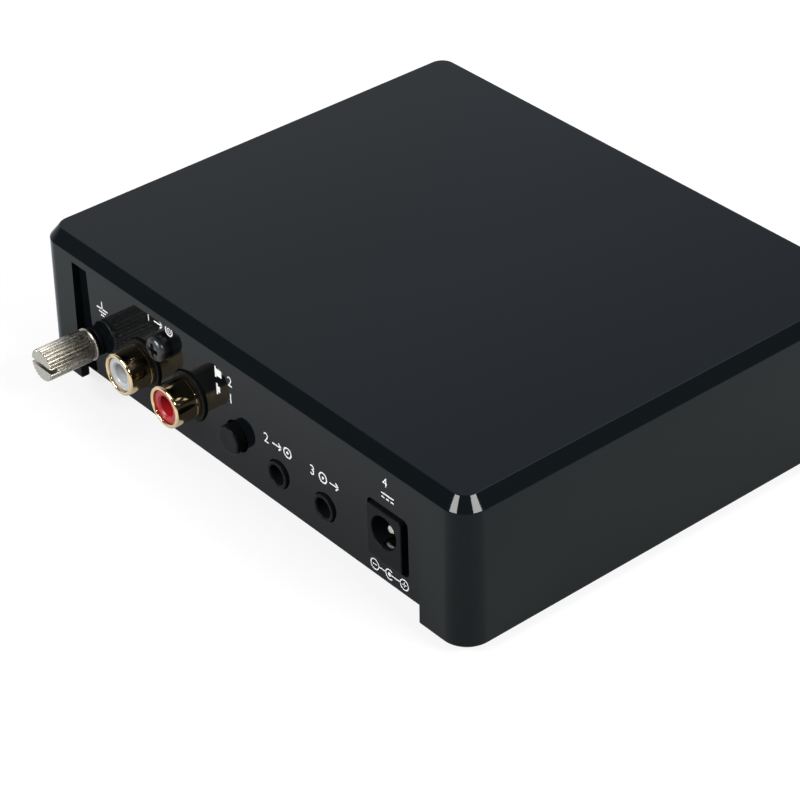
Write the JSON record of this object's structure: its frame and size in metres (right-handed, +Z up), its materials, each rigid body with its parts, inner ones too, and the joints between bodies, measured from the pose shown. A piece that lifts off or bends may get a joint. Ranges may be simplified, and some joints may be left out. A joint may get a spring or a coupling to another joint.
{
  "type": "phono preamplifier",
  "caption": "Low gloss-black box with a recessed rear panel: phono and line sockets, ground thumbscrew, selector button and power socket; it raises a record player's signal to line level.",
  "frame": {"origin": "on the table, under the middle of the part's whole outline, connectors included", "axes": "+Z up, +Y out of the rear panel that carries the sockets, +X towards the ground terminal"},
  "size_m": [0.1208, 0.112, 0.0322],
  "materials": {
    "gloss_black_cover": "piano-black gloss moulding",
    "black_base": "fine texture",
    "gloss_panel": "gloss with pale printed marks",
    "foot_rubber": "matt",
    "black_screw": "black oxide",
    "zinc_screw": "zinc plated",
    "black_housing": "moulded, slightly satin",
    "gold_plate": "bright gold plating",
    "white_insulator": "moulded",
    "red_insulator": "moulded",
    "nickel_plate": "bright nickel plating, straight knurl",
    "black_bush": "blackened",
    "tinned_metal": "tin plated",
    "gloss_key": "gloss moulding",
    "pale_stem": "natural acetal",
    "clear_guide": "clear moulding",
    "lamp_body": "diffusing resin",
    "green_board": "solder mask on glass fibre",
    "blue_board": "solder mask on glass fibre",
    "shield_can": "tinned steel",
    "chip_epoxy": "moulded epoxy",
    "ferrite": "matt ferrite",
    "capacitor_sleeve": "shrunk sleeve",
    "film_capacitor": "dipped"
  },
  "bodies": {
    "root": {"top_cover": "gloss_black_cover", "base_plate": "black_base", "rear_panel": "gloss_panel", "rubber_feet": "foot_rubber", "cover_screws": "black_screw", "circuit_board": "green_board", "board_screws": "zinc_screw", "rca_housing": "black_housing", "rca_shell_left": "gold_plate", "rca_shell_right": "gold_plate", "rca_insulator_left": "white_insulator", "rca_insulator_right": "red_insulator", "rca_contact_left": "gold_plate", "rca_contact_right": "gold_plate", "rca_screw": "black_screw", "ground_bush": "black_bush", "ground_nut": "zinc_screw", "ground_tag": "tinned_metal", "selector_housing": "black_housing", "line_in_jack": "black_housing", "line_in_contacts": "tinned_metal", "line_out_jack": "black_housing", "line_out_contacts": "tinned_metal", "dc_jack_housing": "black_housing", "dc_jack_pin": "tinned_metal", "dc_jack_spring": "tinned_metal", "key_switch_body": "black_housing", "light_guide": "clear_guide", "status_lamp": "lamp_body", "radio_board": "blue_board", "radio_shield": "shield_can", "amplifier_chips": "chip_epoxy", "voltage_regulators": "chip_epoxy", "power_inductor": "ferrite", "electrolytic_capacitors": "capacitor_sleeve", "film_capacitors": "film_capacitor", "chip_resistors": "chip_epoxy"},
    "ground_clamp": {"ground_washer": "nickel_plate"},
    "ground_knob": {"ground_thumbscrew": "nickel_plate"},
    "selector": {"selector_stem": "pale_stem", "selector_cap": "gloss_key"},
    "front_key": {"front_key": "gloss_key", "key_switch_stem": "pale_stem"}
  },
  "joints": [
    {"name": "ground_clamp_slide", "type": "slide", "parent": "root", "child": "ground_clamp", "axis": [0, 1, 0], "range_m": [-0.00075, 0.0025]},
    {"name": "ground_screw_turn", "type": "hinge", "parent": "ground_clamp", "child": "ground_knob", "pos_m": [0.04631, 0.05095, 0.0119], "axis": [0, 1, 0], "range_deg": [-385.8, 1285.8]},
    {"name": "selector_press", "type": "slide", "parent": "root", "child": "selector", "axis": [0, -1, 0], "range_m": [0, 0.0015], "stiffness_N_per_m": 600, "springref_m": -0.001},
    {"name": "front_key_press", "type": "slide", "parent": "root", "child": "front_key", "axis": [0, 1, 0], "range_m": [0, 0.0005], "stiffness_N_per_m": 800, "springref_m": -0.0005}
  ],
  "couplings": [
    {"joint": "ground_screw_turn", "follows": "ground_clamp_slide", "rad_per_m": 8976}
  ]
}
